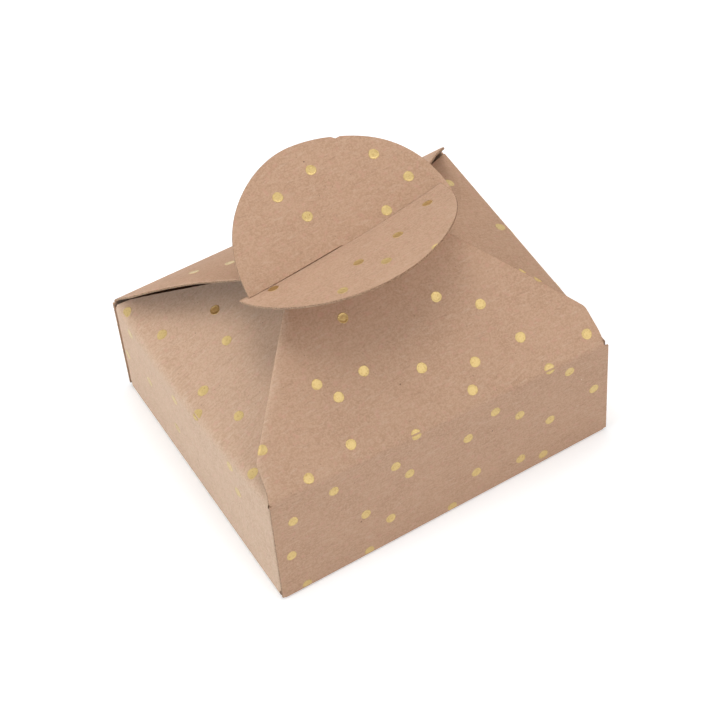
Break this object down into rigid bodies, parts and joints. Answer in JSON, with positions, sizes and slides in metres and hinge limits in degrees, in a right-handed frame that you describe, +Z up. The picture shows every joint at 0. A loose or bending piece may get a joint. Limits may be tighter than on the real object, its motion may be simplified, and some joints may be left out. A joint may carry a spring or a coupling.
{
  "type": "favor box",
  "caption": "Small square-cornered card favour box whose front and back flaps end in round tabs with half slits that hook into each other, with foil dots.",
  "frame": {"origin": "centre of the base, on the face that the box stands on", "axes": "+X to the right along the front wall, +Y from the front wall to the back wall, +Z up"},
  "size_m": [0.09, 0.076, 0.0696],
  "materials": {
    "kraft_card": "uncoated brown kraft board, matt, with fine fibres and dark flecks",
    "gold_foil": "hot-stamped gold foil, satin, slightly pressed in",
    "carton_glue": "thin dried carton glue"
  },
  "bodies": {
    "tray": {"base_panel": "kraft_card", "front_base_crease": "kraft_card", "back_base_crease": "kraft_card", "left_base_crease": "kraft_card", "right_base_crease": "kraft_card", "front_wall": "kraft_card", "back_wall": "kraft_card", "left_wall": "kraft_card", "right_wall": "kraft_card", "front_left_corner_tab": "kraft_card", "front_right_corner_tab": "kraft_card", "back_left_corner_tab": "kraft_card", "back_right_corner_tab": "kraft_card", "glue_films": "carton_glue", "front_flap_crease": "kraft_card", "back_flap_crease": "kraft_card", "left_flap_crease": "kraft_card", "right_flap_crease": "kraft_card", "front_wall_dots": "gold_foil", "back_wall_dots": "gold_foil", "left_wall_dots": "gold_foil", "right_wall_dots": "gold_foil"},
    "front_closure": {"front_flap": "kraft_card", "front_tab_held_half": "kraft_card", "front_tab_free_half": "kraft_card", "front_flap_dots": "gold_foil", "front_tab_dots": "gold_foil"},
    "back_closure": {"back_flap": "kraft_card", "back_tab_held_half": "kraft_card", "back_tab_free_half": "kraft_card", "back_flap_dots": "gold_foil", "back_tab_dots": "gold_foil"},
    "left_side_flap": {"left_flap": "kraft_card", "left_flap_dots": "gold_foil"},
    "right_side_flap": {"right_flap": "kraft_card", "right_flap_dots": "gold_foil"}
  },
  "joints": [
    {"name": "front_flap_hinge", "type": "hinge", "parent": "tray", "child": "front_closure", "pos_m": [0, -0.03775, 0.031], "axis": [1, 0, 0], "range_deg": [0, 115], "deforming": ["front_tab_free_half", "front_tab_dots"]},
    {"name": "back_flap_hinge", "type": "hinge", "parent": "tray", "child": "back_closure", "pos_m": [0, 0.03775, 0.031], "axis": [-1, 0, 0], "range_deg": [0, 115], "deforming": ["back_tab_free_half", "back_tab_dots"]},
    {"name": "left_flap_hinge", "type": "hinge", "parent": "tray", "child": "left_side_flap", "pos_m": [-0.04475, 0, 0.031], "axis": [0, -1, 0], "range_deg": [0, 115]},
    {"name": "right_flap_hinge", "type": "hinge", "parent": "tray", "child": "right_side_flap", "pos_m": [0.04475, 0, 0.031], "axis": [0, 1, 0], "range_deg": [0, 115]}
  ],
  "couplings": [
    {"joint": "back_flap_hinge", "follows": "front_flap_hinge", "ratio": 1},
    {"joint": "left_flap_hinge", "follows": "front_flap_hinge", "ratio": 1},
    {"joint": "right_flap_hinge", "follows": "front_flap_hinge", "ratio": 1}
  ]
}
